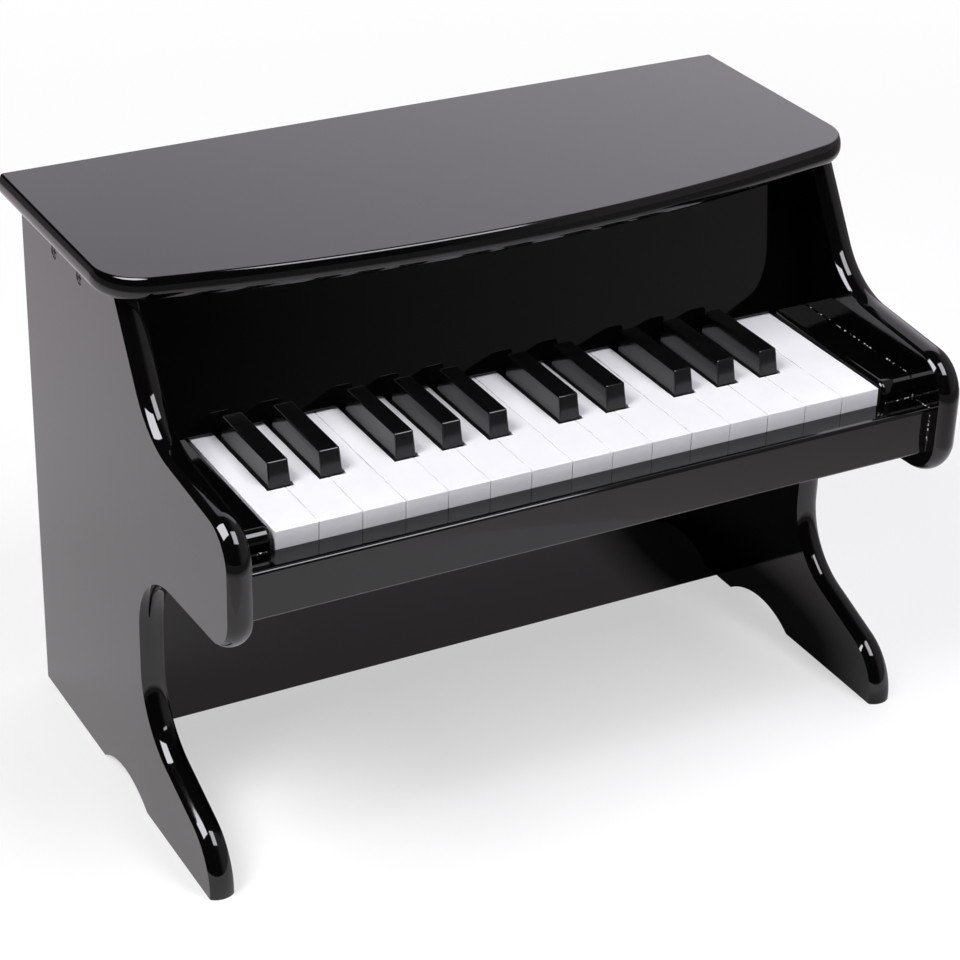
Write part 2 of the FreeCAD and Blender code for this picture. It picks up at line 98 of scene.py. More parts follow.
# The colour, the relief and the gloss of a finish that has all three
def setFinish(tree, shader, colour, relief, roughness):
    tree.links.new(colour.outputs["Result"], shader.inputs["Base Color"])
    tree.links.new(relief.outputs["Normal"], shader.inputs["Normal"])
    shader.inputs["Roughness"].default_value = roughness


# Sprayed and buffed polyester lacquer on board: a deep black mirror with a faint orange peel,
# slow waves from sanding, hand smudges and a few specks of dust
lacquerFinish = {
    "black": "#040404", "dustAndGlint": "#6a686a", "ior": 1.48, "roughness": 0.045, "smudged": 0.1,
    "smudgeMm": 55, "smudgeFrom": 0.52, "smudgeTo": 0.78, "fleckSpacingMm": 17, "fleckMm": 0.42,
    "peelMm": 2.6, "peelDepthMm": 0.0012, "waveMm": 34, "waveDepthMm": 0.03,
}

# Where lacquer ran together along a seam it is duller, and its pale flecks are painted glints that stand in
# for the light the beads catch; the flecks are drawn coarser than such glints are, so that they show
seamGlintFinish = dict(lacquerFinish, dustAndGlint="#d4d4d8", roughness=0.16, smudged=0.3, fleckSpacingMm=1.9, fleckMm=1.5)


def makeLacquer(name, finish):
    material, tree, shader, place = newMaterial(name)
    smudge = addNode(tree, "ShaderNodeTexNoise", {"Scale": perMetre(finish["smudgeMm"]), "Detail": 4.0},
                     {"Vector": place})
    sheen = addNode(tree, "ShaderNodeMapRange",
                    {"From Min": finish["smudgeFrom"], "From Max": finish["smudgeTo"],
                     "To Min": finish["roughness"], "To Max": finish["smudged"]},
                    {"Value": smudge.outputs["Fac"]})
    specks = addNode(tree, "ShaderNodeTexVoronoi", {"Scale": perMetre(finish["fleckSpacingMm"])},
                     {"Vector": place})
    speckSize = finish["fleckMm"] / finish["fleckSpacingMm"] / 2
    speck = addNode(tree, "ShaderNodeMath", {"operation": "LESS_THAN", 1: speckSize},
                    {0: specks.outputs["Distance"]})
    # pale flecks: real dust on the lacquer, painted glints on the seams
    colour = addNode(tree, "ShaderNodeMix",
                     {"data_type": "RGBA", "A": toLinear(finish["black"]), "B": toLinear(finish["dustAndGlint"])},
                     {"Factor": speck.outputs["Value"]})
    peel = addNode(tree, "ShaderNodeTexNoise", {"Scale": perMetre(finish["peelMm"]), "Detail": 2.0},
                   {"Vector": place})
    wave = addNode(tree, "ShaderNodeTexNoise", {"Scale": perMetre(finish["waveMm"]), "Detail": 1.0},
                   {"Vector": place})
    slow = addNode(tree, "ShaderNodeBump", {"Strength": 1.0, "Distance": finish["waveDepthMm"] * mm},
                   {"Height": wave.outputs["Fac"]})
    fine = addNode(tree, "ShaderNodeBump", {"Strength": 1.0, "Distance": finish["peelDepthMm"] * mm},
                   {"Height": peel.outputs["Fac"], "Normal": slow.outputs["Normal"]})
    setFinish(tree, shader, colour, fine, finish["roughness"])
    tree.links.new(sheen.outputs["Result"], shader.inputs["Roughness"])
    shader.inputs["IOR"].default_value = finish["ior"]
    return material


# Sprayed key paint: an even coat whose fine grit and thin tone drift show close up
whitePaint = {"tone": "#efeff2", "worn": "#e5e4e7", "roughness": 0.34, "ior": 1.48,
              "driftMm": 14, "gritMm": 0.7, "gritDepthMm": 0.004}
blackPaint = {"tone": "#070708", "worn": "#0d0d0e", "roughness": 0.12, "ior": 1.5,
              "driftMm": 9, "gritMm": 1.6, "gritDepthMm": 0.0015}


def makePaint(name, finish):
    material, tree, shader, place = newMaterial(name)
    drift = addNode(tree, "ShaderNodeTexNoise", {"Scale": perMetre(finish["driftMm"]), "Detail": 3.0},
                    {"Vector": place})
    colour = addNode(tree, "ShaderNodeMix",
                     {"data_type": "RGBA", "A": toLinear(finish["tone"]), "B": toLinear(finish["worn"])},
                     {"Factor": drift.outputs["Fac"]})
    grit = addNode(tree, "ShaderNodeTexNoise", {"Scale": perMetre(finish["gritMm"]), "Detail": 2.0},
                   {"Vector": place})
    bump = addNode(tree, "ShaderNodeBump", {"Strength": 1.0, "Distance": finish["gritDepthMm"] * mm},
                   {"Height": grit.outputs["Fac"]})
    setFinish(tree, shader, colour, bump, finish["roughness"])
    shader.inputs["IOR"].default_value = finish["ior"]
    return material


# Planed beech and black-stained plywood: long grain along X, with short dark rays on the beech
beech = {"light": "#cfa678", "dark": "#a97c4d", "ray": "#86592f", "roughness": 0.52,
         "grainMm": 1.6, "stretch": 26, "grainDepthMm": 0.03,
         "rayMm": 0.9, "rayStretch": 5, "rayFrom": 0.62, "rayTo": 0.72}
stainedPly = {"light": "#1d1b1a", "dark": "#0c0b0b", "ray": "#080707", "roughness": 0.46,
              "grainMm": 1.2, "stretch": 40, "grainDepthMm": 0.05,
              "rayMm": 0.7, "rayStretch": 16, "rayFrom": 0.62, "rayTo": 0.72}


def makeTimber(name, finish):
    material, tree, shader, place = newMaterial(name)
    along = addNode(tree, "ShaderNodeMapping", {"Scale": (1 / finish["stretch"], 1, 1)}, {"Vector": place})
    rayAlong = addNode(tree, "ShaderNodeMapping", {"Scale": (1 / finish["rayStretch"], 1, 1)},
                       {"Vector": place})
    grain = addNode(tree, "ShaderNodeTexNoise", {"Scale": perMetre(finish["grainMm"]), "Detail": 6.0},
                    {"Vector": along.outputs["Vector"]})
    rays = addNode(tree, "ShaderNodeTexNoise", {"Scale": perMetre(finish["rayMm"]), "Detail": 1.0},
                   {"Vector": rayAlong.outputs["Vector"]})
    rayMask = addNode(tree, "ShaderNodeMapRange",
                      {"From Min": finish["rayFrom"], "From Max": finish["rayTo"]},
                      {"Value": rays.outputs["Fac"]})
    tone = addNode(tree, "ShaderNodeMix",
                   {"data_type": "RGBA", "A": toLinear(finish["light"]), "B": toLinear(finish["dark"])},
                   {"Factor": grain.outputs["Fac"]})
    colour = addNode(tree, "ShaderNodeMix", {"data_type": "RGBA", "B": toLinear(finish["ray"])},
                     {"Factor": rayMask.outputs["Result"], "A": tone.outputs["Result"]})
    bump = addNode(tree, "ShaderNodeBump", {"Strength": 1.0, "Distance": finish["grainDepthMm"] * mm},
                   {"Height": grain.outputs["Fac"]})
    setFinish(tree, shader, colour, bump, finish["roughness"])
    return material


# Pressed wool felt: a dull fuzzy red with pale fibres
feltFinish = {"wool": "#7d1f26", "fibre": "#a8565a", "fibreMm": 0.6, "fibreDepthMm": 0.15, "curl": 1.5,
              "roughness": 0.95, "fuzz": 0.5}


def makeFelt(name, finish):
    material, tree, shader, place = newMaterial(name)
    fibres = addNode(tree, "ShaderNodeTexNoise",
                     {"Scale": perMetre(finish["fibreMm"]), "Detail": 8.0, "Distortion": finish["curl"]},
                     {"Vector": place})
    colour = addNode(tree, "ShaderNodeMix",
                     {"data_type": "RGBA", "A": toLinear(finish["wool"]), "B": toLinear(finish["fibre"])},
                     {"Factor": fibres.outputs["Fac"]})
    bump = addNode(tree, "ShaderNodeBump", {"Strength": 1.0, "Distance": finish["fibreDepthMm"] * mm},
                   {"Height": fibres.outputs["Fac"]})
    setFinish(tree, shader, colour, bump, finish["roughness"])
    shader.inputs["Sheen Weight"].default_value = finish["fuzz"]
    return material


# Drawn steel rod with streaks from the die, zinc-plated screws with a cloudy plating,
# and cast iron whose sandy skin is sealed with dull grey paint
drawnSteel = {"light": "#c4c6c9", "dark": "#9fa2a6", "metallic": 1.0, "roughness": 0.24,
              "patternMm": 0.5, "stretch": (1, 0.05, 1), "depthMm": 0.004}
platedSteel = {"light": "#5c5a58", "dark": "#3a3836", "metallic": 1.0, "roughness": 0.34,
               "patternMm": 1.5, "stretch": (1, 1, 1), "depthMm": 0.006}
castIron = {"light": "#4a4b4f", "dark": "#2f3033", "metallic": 0.0, "roughness": 0.62,
            "patternMm": 0.9, "stretch": (1, 1, 1), "depthMm": 0.12}


def makeMetal(name, finish):
    material, tree, shader, place = newMaterial(name)
    along = addNode(tree, "ShaderNodeMapping", {"Scale": finish["stretch"]}, {"Vector": place})
    skin = addNode(tree, "ShaderNodeTexNoise", {"Scale": perMetre(finish["patternMm"]), "Detail": 4.0},
                   {"Vector": along.outputs["Vector"]})
    colour = addNode(tree, "ShaderNodeMix",
                     {"data_type": "RGBA", "A": toLinear(finish["light"]), "B": toLinear(finish["dark"])},
                     {"Factor": skin.outputs["Fac"]})
    bump = addNode(tree, "ShaderNodeBump", {"Strength": 1.0, "Distance": finish["depthMm"] * mm},
                   {"Height": skin.outputs["Fac"]})
    setFinish(tree, shader, colour, bump, finish["roughness"])
    shader.inputs["Metallic"].default_value = finish["metallic"]
    return material


pianoLacquer = makeLacquer("blackPolyesterLacquer", lacquerFinish)
seamLacquerGlints = makeLacquer("seamLacquerPaintedGlints", seamGlintFinish)
whiteKeyPaint = makePaint("whiteKeyPaint", whitePaint)
blackKeyPaint = makePaint("blackKeyPaint", blackPaint)
planedBeech = makeTimber("planedBeech", beech)
blackPly = makeTimber("stainedPlywood", stainedPly)
woolFelt = makeFelt("woolFelt", feltFinish)
rodSteel = makeMetal("drawnSteel", drawnSteel)
screwSteel = makeMetal("platedSteel", platedSteel)
blockIron = makeMetal("castIron", castIron)
print("materials ready:", len(bpy.data.materials))


# Shared modelling steps

crispAngle = math.radians(38)  # an edge that turns by more stays crisp


def newPiece(name, bm, materials, body, replaced):
    mesh = bpy.data.meshes.new(name)
    bm.to_mesh(mesh)
    bm.free()
    for material in materials:
        mesh.materials.append(material)
    mesh.shade_smooth()
    mesh.set_sharp_from_angle(angle=crispAngle)
    piece = bpy.data.objects.new(name, mesh)
    bpy.context.scene.collection.objects.link(piece)
    even = piece.modifiers.new("evenShading", "WEIGHTED_NORMAL")
    even.keep_sharp = True
    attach(piece, body)
    if replaced:
        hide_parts(*replaced)


def same(a, b):
    return abs(a - b) < tiny


# Whether the whole edge lies at one place along an axis
def liesAt(edge, axis, place):
    return all(same(getattr(vert.co, axis), place) for vert in edge.verts)


def addBlock(bm, lo, hi):
    made = bmesh.ops.create_cube(bm, size=1)["verts"]
    bmesh.ops.scale(bm, vec=Vector(hi) - Vector(lo), verts=made)
    bmesh.ops.translate(bm, vec=(Vector(hi) + Vector(lo)) / 2, verts=made)
    return made


def edgesOf(verts):
    linked = dict.fromkeys(edge for vert in verts for edge in vert.link_edges)
    return [edge for edge in linked if set(edge.verts) <= set(verts)]


def roundEdges(bm, edges, radius, segments):
    bmesh.ops.bevel(bm, geom=edges, offset=radius, offset_type="OFFSET", segments=segments, profile=0.5,
                    affect="EDGES", material=-1, clamp_overlap=False)


# The edges go in with the faces, or the old faces would stay inside
def extrudeFaces(bm, faces, step):
    edges = list(dict.fromkeys(edge for face in faces for edge in face.edges))
    made = bmesh.ops.extrude_face_region(bm, geom=faces + edges)["geom"]
    verts = [part for part in made if isinstance(part, bmesh.types.BMVert)]
    bmesh.ops.translate(bm, vec=step, verts=verts)
    return verts, [part for part in made if isinstance(part, bmesh.types.BMFace)]


# A cut at one place across the width, which may take away what lies beyond it
def cutAcross(bm, x, way, clearBeyond=False):
    everything = bm.verts[:] + bm.edges[:] + bm.faces[:]
    bmesh.ops.bisect_plane(bm, geom=everything, plane_co=(x, 0, 0), plane_no=way, clear_outer=clearBeyond)


def turnVert(bm, vert, centre, axis, angle, steps):
    made = bmesh.ops.spin(bm, geom=[vert], cent=centre, axis=axis, angle=angle, steps=steps)
    return [part for part in made["geom_last"] if isinstance(part, bmesh.types.BMVert)][0]


# A closed outline through corners (point, radius), each rounded by a spun vertex
def drawOutline(bm, corners, arcSteps):
    ends = []
    for index, (point, radius) in enumerate(corners):
        before = (corners[index - 1][0] - point).normalized()
        after = (corners[(index + 1) % len(corners)][0] - point).normalized()
        halfTurn = (math.pi - before.angle(after)) / 2
        first = bm.verts.new(point + before * radius * math.tan(halfTurn))
        last = first
        if radius:
            centre = point + (before + after).normalized() * radius / math.cos(halfTurn)
            last = turnVert(bm, first, centre, after.cross(before), 2 * halfTurn, arcSteps)
        ends.append((first, last))
    for index in range(len(ends)):
        bm.edges.new((ends[index - 1][1], ends[index][0]))
    bmesh.ops.remove_doubles(bm, verts=bm.verts[:], dist=weld)
    bmesh.ops.contextual_create(bm, geom=bm.edges[:])


# A straight edge along Y bowed up to an arc of the given rise
def bowUp(bm, edge, rise, steps):
    half = edge.calc_length() / 2
    middle = (edge.verts[0].co.y + edge.verts[1].co.y) / 2
    radius = (half ** 2 + rise ** 2) / (2 * rise)
    cut = bmesh.ops.subdivide_edges(bm, edges=[edge], cuts=steps)["geom_inner"]
    for part in cut:
        if isinstance(part, bmesh.types.BMVert):
            part.co.z += math.sqrt(radius ** 2 - (part.co.y - middle) ** 2) - (radius - rise)


def asThing(bm):
    mesh = bpy.data.meshes.new("carving")
    bm.to_mesh(mesh)
    bm.free()
    thing = bpy.data.objects.new("carving", mesh)
    bpy.context.scene.collection.objects.link(thing)
    return thing


# The body with the tool's shape taken out of it; both are used up
def carve(bm, toolBm):
    body = asThing(bm)
    tool = asThing(toolBm)
    cut = body.modifiers.new("cut", "BOOLEAN")
    cut.operation = "DIFFERENCE"
    cut.solver = "EXACT"
    cut.object = tool
    shaped = bpy.data.meshes.new_from_object(body.evaluated_get(bpy.context.evaluated_depsgraph_get()))
    carved = bmesh.new()
    carved.from_mesh(shaped)
    for thing in (body, tool):
        mesh = thing.data
        bpy.data.objects.remove(thing)
        bpy.data.meshes.remove(mesh)
    bpy.data.meshes.remove(shaped)
    return carved


# Countersunk wood screws, and where they sit: (length, way out of the wood, place of the head), in mm
woodScrew = {"headRadius": 3.3, "headHeight": 2.2, "shankRadius": 1.7, "tip": 5.0, "turns": 28,
             "crossLength": 3.9, "crossWidth": 0.85, "crossDepth": 1.3, "slack": 0.15, "holeAbove": 5.0}
screwPlaces = {
    "top_cleat_screws": [(21, (side, 0, 0), (side * 190.7, y, 257.2))
                         for side in (-1, 1) for y in (41.43, 73.13)],
    "back_panel_screws": [(14, (0, 1, 0), (x, 112.1, z))
                          for x in (-173.5, 173.5) for z in (178.1, 204.05, 230.0)],
    "tone_block_screws": [(11, (0, 1, 0), (x, 112.1, 218.7)) for x in (-130.64, 0, 130.64)],
}


# A turned form on the Z axis from (radius, height) pairs in mm
def turnForm(bm, profile):
    verts = [bm.verts.new((radius * mm, 0, height * mm)) for radius, height in profile]
    edges = [bm.edges.new(pair) for pair in zip(verts, verts[1:])]
    bmesh.ops.spin(bm, geom=verts + edges, cent=(0, 0, 0), axis=upZ, angle=2 * math.pi,
                   steps=woodScrew["turns"], use_merge=True)
    bmesh.ops.remove_doubles(bm, verts=bm.verts[:], dist=weld)
    bmesh.ops.recalc_face_normals(bm, faces=bm.faces[:])


def setOnHead(bm, way, place):
    turn = upZ.rotation_difference(Vector(way)).to_matrix()
    bmesh.ops.rotate(bm, cent=(0, 0, 0), matrix=turn, verts=bm.verts[:])
    bmesh.ops.translate(bm, vec=Vector(place) * mm, verts=bm.verts[:])


def oneScrew(length):
    bm = bmesh.new()
    shank = woodScrew["shankRadius"]
    turnForm(bm, [(0, 0), (woodScrew["headRadius"], 0), (shank, -woodScrew["headHeight"]),
                  (shank, woodScrew["tip"] - length), (0, -length)])
    long, wide = woodScrew["crossLength"], woodScrew["crossWidth"]
    for x, y in ((long, wide), (wide, long)):
        half = Vector((x, y, 2 * woodScrew["crossDepth"])) * mm / 2
        cross = bmesh.new()
        addBlock(cross, -half, half)
        bm = carve(bm, cross)
    return bm


def screwHole(length):
    bm = bmesh.new()
    head = woodScrew["headRadius"] + woodScrew["slack"]
    shank = woodScrew["shankRadius"] + woodScrew["slack"]
    above = woodScrew["holeAbove"]
    turnForm(bm, [(0, above), (head, above), (head, 0), (shank, -woodScrew["headHeight"]),
                  (shank, -length), (0, -length)])
    return bm


def makeScrews(node, places):
    whole = bmesh.new()
    for length, way, place in places:
        screw = oneScrew(length)
        setOnHead(screw, way, place)
        mesh = bpy.data.meshes.new("oneScrew")
        screw.to_mesh(mesh)
        screw.free()
        whole.from_mesh(mesh)
        bpy.data.meshes.remove(mesh)
    newPiece(node + "_plated", whole, [screwSteel], "case", [node])


for node, places in screwPlaces.items():
    makeScrews(node, places)
print("screws done")


# Side panels: one outline from brow to toe, whose front edge is a shallow round between two crisp arrises.
# Corners are (setback from the front, height, radius) in mm
sidePanel = {
    "brow": 119.1, "sweep": (85.4, 212.7, 41.7), "noseTop": (0.0, 205.9, 21.8),
    "noseUnder": (0.0, 144.5, 19.5), "notch": (102.8, 139.8, 38.5), "legBend": (102.8, 53.8, 40.0),
    "toe": (24.5, 23.4, 32.0), "toeFloor": 25.9, "rearFoot": 80.5, "archSpan": 54.2, "archHeight": 8.7,
    "edgeRadius": 9.0, "roundSteps": 24, "arcSteps": 28, "softEdge": 0.6, "softSteps": 2,
    "soleAbove": 1.0, "soleBehind": 3.0,  # over the arch and behind the toe, how far the edges stay square
}


def makePanel(side):
    lo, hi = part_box("side_panel_" + side)
    outward = -1 if side == "left" else 1
    edgeRadius = sidePanel["edgeRadius"] * mm
    slabInside = (lo.x + hi.x) / 2 - outward * edgeRadius  # the slab is as thick as the whole round
    bm = bmesh.new()

    def corner(setback, height, radius=0.0):
        return (Vector((slabInside, lo.y + setback * mm, height * mm)), radius * mm)

    top = hi.z / mm
    heel = (hi.y - lo.y) / mm
    archBack = heel - sidePanel["rearFoot"]
    archSpan = sidePanel["archSpan"]
    corners = [corner(sidePanel["brow"], top)]
    for name in ("sweep", "noseTop", "noseUnder", "notch", "legBend", "toe"):
        corners.append(corner(*sidePanel[name]))
    corners += [corner(sidePanel["toeFloor"], 0), corner(archBack - archSpan, 0)]
    corners += [corner(archBack, 0), corner(heel, 0), corner(heel, top)]
    drawOutline(bm, corners, sidePanel["arcSteps"])
    archEdge = [e for e in bm.edges if same(e.calc_length(), archSpan * mm) and liesAt(e, "z", 0)][0]
    bowUp(bm, archEdge, sidePanel["archHeight"] * mm, sidePanel["arcSteps"])
    extrudeFaces(bm, bm.faces[:], acrossX * outward * 2 * edgeRadius)
    bmesh.ops.recalc_face_normals(bm, faces=bm.faces[:])
    soleTop = (sidePanel["archHeight"] + sidePanel["soleAbove"]) * mm
    soleFront = lo.y + (sidePanel["toeFloor"] + sidePanel["soleBehind"]) * mm

    def isRounded(edge):
        a, b = (vert.co for vert in edge.verts)
        middle = (a + b) / 2
        underFoot = middle.z < soleTop and middle.y > soleFront
        atBack = same(middle.y, hi.y)
        return same(a.x, b.x) and not (underFoot or atBack or same(middle.z, hi.z))

    roundEdges(bm, [e for e in bm.edges if isRounded(e)], edgeRadius - tiny, sidePanel["roundSteps"])
    for face, way in ((lo.x, -acrossX), (hi.x, acrossX)):  # cut to the board's own thickness
        cutAcross(bm, face, way, clearBeyond=True)
        bmesh.ops.contextual_create(bm, geom=[e for e in bm.edges if e.is_boundary])
    bmesh.ops.recalc_face_normals(bm, faces=bm.faces[:])
    backEdges = [e for e in bm.edges if liesAt(e, "y", hi.y) and e.calc_length() > hi.z / 2]
    roundEdges(bm, backEdges, sidePanel["softEdge"] * mm, sidePanel["softSteps"])
    for length, way, place in screwPlaces["top_cleat_screws"]:
        if way[0] == outward:
            hole = screwHole(length)
            setOnHead(hole, way, place)
            bm = carve(bm, hole)
    newPiece("sidePanel_" + side, bm, [pianoLacquer], "case", ["side_panel_" + side])


for side in ("left", "right"):
    makePanel(side)
print("side panels done")

# Top board: a bowed front with round corners, and an edge that swells from a crisp upper arris
# and rolls under
topBoard = {"bow": 24.5, "bowShift": -10.0, "bowSteps": 60, "cornerRadius": 25.5, "cornerSteps": 28,
            "arrisInset": 1.6, "arrisRound": 0.9, "arrisSteps": 3,
            "swellDrop": 6.5, "rollDepth": 5.0, "edgeSteps": 8}


# One level of the board: its outline drawn in by the inset
def addBoardLevel(bm, lo, hi, inset, height):
    shift = topBoard["bowShift"] * mm
    bow = topBoard["bow"] * mm
    cornerRadius = topBoard["cornerRadius"] * mm
    cornerX = hi.x - cornerRadius
    bowRadius = (hi.x ** 2 + bow ** 2) / (2 * bow)
    bowCentre = Vector((shift, lo.y + bowRadius, height))
    reach = bowRadius - cornerRadius
    leftCentre = Vector((-cornerX, bowCentre.y - math.sqrt(reach ** 2 - (cornerX + shift) ** 2), height))
    rightCentre = Vector((cornerX, bowCentre.y - math.sqrt(reach ** 2 - (cornerX - shift) ** 2), height))
    leftTurn = math.asin((cornerX + shift) / reach)
    rightTurn = math.asin((cornerX - shift) / reach)
    backLeft = bm.verts.new((lo.x + inset, hi.y, height))
    backRight = bm.verts.new((hi.x - inset, hi.y, height))
    leftEnd = bm.verts.new((lo.x + inset, leftCentre.y, height))
    before = set(bm.edges)
    vert = turnVert(bm, leftEnd, leftCentre, upZ, math.pi / 2 - leftTurn, topBoard["cornerSteps"])
    vert = turnVert(bm, vert, bowCentre, upZ, leftTurn + rightTurn, topBoard["bowSteps"])
    rightEnd = turnVert(bm, vert, rightCentre, upZ, math.pi / 2 - rightTurn, topBoard["cornerSteps"])
    for pair in ((rightEnd, backRight), (backRight, backLeft), (backLeft, leftEnd)):
        bm.edges.new(pair)
    return [e for e in bm.edges if e not in before]


def makeTopBoard():
    lo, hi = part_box("top_board")
    steps = topBoard["edgeSteps"]
    roll = topBoard["rollDepth"] * mm
    drop = topBoard["swellDrop"] * mm
    arris = topBoard["arrisInset"] * mm
    belly = hi.z - drop
    swellRadius = (drop ** 2 + arris ** 2) / (2 * arris)
    levels = []
    for step in range(steps + 1):  # the roll under the board, from its underside to the belly
        angle = math.pi / 2 * step / steps
        levels.append((roll * (1 - math.sin(angle)), belly - (belly - lo.z) * math.cos(angle)))
    for step in range(1, steps + 1):  # the slow swell from the belly up to the arris
        height = drop * step / steps
        levels.append((swellRadius - math.sqrt(swellRadius ** 2 - height ** 2), belly + height))
    bm = bmesh.new()
    rings = [addBoardLevel(bm, lo, hi, inset, height) for inset, height in levels]
    for lower, upper in zip(rings, rings[1:]):
        bmesh.ops.bridge_loops(bm, edges=lower + upper)
    bmesh.ops.contextual_create(bm, geom=rings[0])
    bmesh.ops.contextual_create(bm, geom=rings[-1])
    bmesh.ops.recalc_face_normals(bm, faces=bm.faces[:])
    rim = [e for e in bm.edges if liesAt(e, "z", hi.z) and not liesAt(e, "y", hi.y)]
    roundEdges(bm, rim, topBoard["arrisRound"] * mm, topBoard["arrisSteps"])
    newPiece("topBoard", bm, [pianoLacquer], "case", ["top_board"])


makeTopBoard()
print("top board done")

# Flat boards and blocks of the case: each is the node's own box with its edges eased.
# The fall board leans, and its thickness measured level is given
cheekBlock = {"frontTop": 6.0, "inner": 2.5, "roundSteps": 10}
caseBoards = {
    "fall_board": {"frontUnder": 0.8, "roundSteps": 4, "levelDepth": 9.547},
    "knee_board": {"frontUnder": 0.8, "roundSteps": 4},
    "key_slip": {"frontTop": 1.6, "frontUnder": 1.5, "roundSteps": 10},
    "cheek_block_left": cheekBlock,
    "cheek_block_right": cheekBlock,
}


def makeBoard(name, sizes):
    lo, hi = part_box(name)
    bm = bmesh.new()
    verts = addBlock(bm, lo, hi)
    if "levelDepth" in sizes:  # the box leans back: its front is drawn in at the top, its back at the foot
        lean = (hi.y - lo.y) - sizes["levelDepth"] * mm
        for vert in verts:
            if same(vert.co.z, hi.z) and same(vert.co.y, lo.y):
                vert.co.y += lean
            elif same(vert.co.z, lo.z) and same(vert.co.y, hi.y):
                vert.co.y -= lean
    for key, height in (("frontTop", hi.z), ("frontUnder", lo.z)):
        if key in sizes:
            front = [e for e in bm.edges if liesAt(e, "y", lo.y) and liesAt(e, "z", height)]
            roundEdges(bm, front, sizes[key] * mm, sizes["roundSteps"])
    if "inner" in sizes:
        innerX = lo.x if lo.x > 0 else hi.x
        rim = [e for e in bm.edges if liesAt(e, "x", innerX)
               and not (liesAt(e, "z", lo.z) or liesAt(e, "y", hi.y))]
        roundEdges(bm, rim, sizes["inner"] * mm, sizes["roundSteps"])
    newPiece(name + "_lacquered", bm, [pianoLacquer], "case", [name])


for name, sizes in caseBoards.items():
    makeBoard(name, sizes)
print("case boards done")

# Beads of lacquer that ran together along the seams where cheek block, key slip and side panel meet
seamBead = {"step": 1.8, "thin": 0.25, "thick": 0.5, "sides": 8, "bendSteps": 6, "endGap": 1.0, "seed": 7}


# Points along a seam: straight runs between corners, and a quarter round where a corner has a radius
def seamPath(corners):
    points = []
    for index, (point, radius) in enumerate(corners):
        spot = Vector(point) * mm
        if not radius:
            points.append(spot)
            continue
        before = (Vector(corners[index - 1][0]) * mm - spot).normalized() * radius * mm
        after = (Vector(corners[index + 1][0]) * mm - spot).normalized() * radius * mm
        centre = spot + before + after
        for step in range(seamBead["bendSteps"] + 1):
            angle = math.pi / 2 * step / seamBead["bendSteps"]
            points.append(centre - after * math.cos(angle) - before * math.sin(angle))
    filled = [points[0]]
    for start, stop in zip(points, points[1:]):
        count = max(1, round((stop - start).length / (seamBead["step"] * mm)))
        filled += [start.lerp(stop, n / count) for n in range(1, count + 1)]
    return filled


# A thin round strand along the path, whose thickness wanders from point to point
def addBead(bm, path, draw):
    along = (path[1] - path[0]).normalized()
    size = draw.uniform(seamBead["thin"], seamBead["thick"]) * mm
    turn = upZ.rotation_difference(along).to_matrix().to_4x4()
    ring = bmesh.ops.create_circle(bm, segments=seamBead["sides"], radius=size, cap_ends=True,
                                   matrix=Matrix.Translation(path[0]) @ turn)["verts"]
    end = [ring[0].link_faces[0]]
    for start, stop in zip(path, path[1:]):
        ring, end = extrudeFaces(bm, end, stop - start)
        way = (stop - start).normalized()
        bmesh.ops.rotate(bm, cent=stop, matrix=along.rotation_difference(way).to_matrix(), verts=ring)
        along = way
        wanted = draw.uniform(seamBead["thin"], seamBead["thick"]) * mm
        bmesh.ops.scale(bm, vec=Vector((1, 1, 1)) * (wanted / size), space=Matrix.Translation(-stop),
                        verts=ring)
        size = wanted


def makeSeams(side):
    sideName = "left" if side < 0 else "right"
    draw = random.Random(seamBead["seed"] + side)
    slipLo, slipHi = (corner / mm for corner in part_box("key_slip"))
    blockLo, blockHi = (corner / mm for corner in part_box("cheek_block_" + sideName))
    wall = side * slipHi.x
    inner = (blockLo.x if side > 0 else blockHi.x) + side * cheekBlock["inner"]
    meeting = (wall, slipHi.y, slipHi.z)  # where block, slip and panel come together
    bm = bmesh.new()
    addBead(bm, seamPath([((wall, blockHi.y, blockHi.z), 0),
                          ((wall, slipHi.y, blockHi.z), cheekBlock["frontTop"]), (meeting, 0)]), draw)
    addBead(bm, seamPath([((inner, slipHi.y, slipHi.z), 0), (meeting, 0)]), draw)
    addBead(bm, seamPath([(meeting, 0), ((wall, slipLo.y, slipHi.z), caseBoards["key_slip"]["frontTop"]),
                          ((wall, slipLo.y, slipLo.z + seamBead["endGap"]), 0)]), draw)
    bmesh.ops.recalc_face_normals(bm, faces=bm.faces[:])
    # the pale flecks of the seam lacquer are painted glints
    newPiece("seamBeads_" + sideName, bm, [seamLacquerGlints], "case", [])


for side in (-1, 1):
    makeSeams(side)
print("seams done")

# Keys: notched white levers, black levers with tapered caps, and the hammer head on each tail
whiteKey = {"thick": 14.0, "headLength": 34.3, "paintBuild": 0.1, "edge": 0.35, "edgeSteps": 3,
            "flatAngle": 1.0}
blackKey = {"leverThick": 12.0, "capRise": 14.0, "capLength": 53.4, "sideTaper": 0.55, "frontSlope": 2.8,
            "backSlope": 0.8, "edge": 0.9, "edgeSteps": 4}
hammerHead = {"width": 9.0, "depth": 10.0, "tailSetback": 24.0, "crownSteps": 8}


def addHammer(bm, x, tailY, seatZ, topZ):
    depth = hammerHead["depth"] * mm
    middleY = tailY - hammerHead["tailSetback"] * mm
    half = hammerHead["width"] * mm / 2
    facesBefore = set(bm.faces)
    verts = addBlock(bm, (x - half, middleY - depth / 2, seatZ), (x + half, middleY + depth / 2, topZ))
    crown = [e for e in edgesOf(verts) if liesAt(e, "z", topZ) and same(e.verts[0].co.y, e.verts[1].co.y)]
    roundEdges(bm, crown, depth / 2 - tiny, hammerHead["crownSteps"])
    for face in bm.faces:
        if face not in facesBefore:
            face.material_index = 1  # bare beech, the second material of a key


# The part of a node's outline at its far end, where only the key's tail reaches
def tailSpan(name, endY):
    spots = [v.co.x for v in nodes[name].data.vertices if same(v.co.y, endY)]
    return min(spots), max(spots)


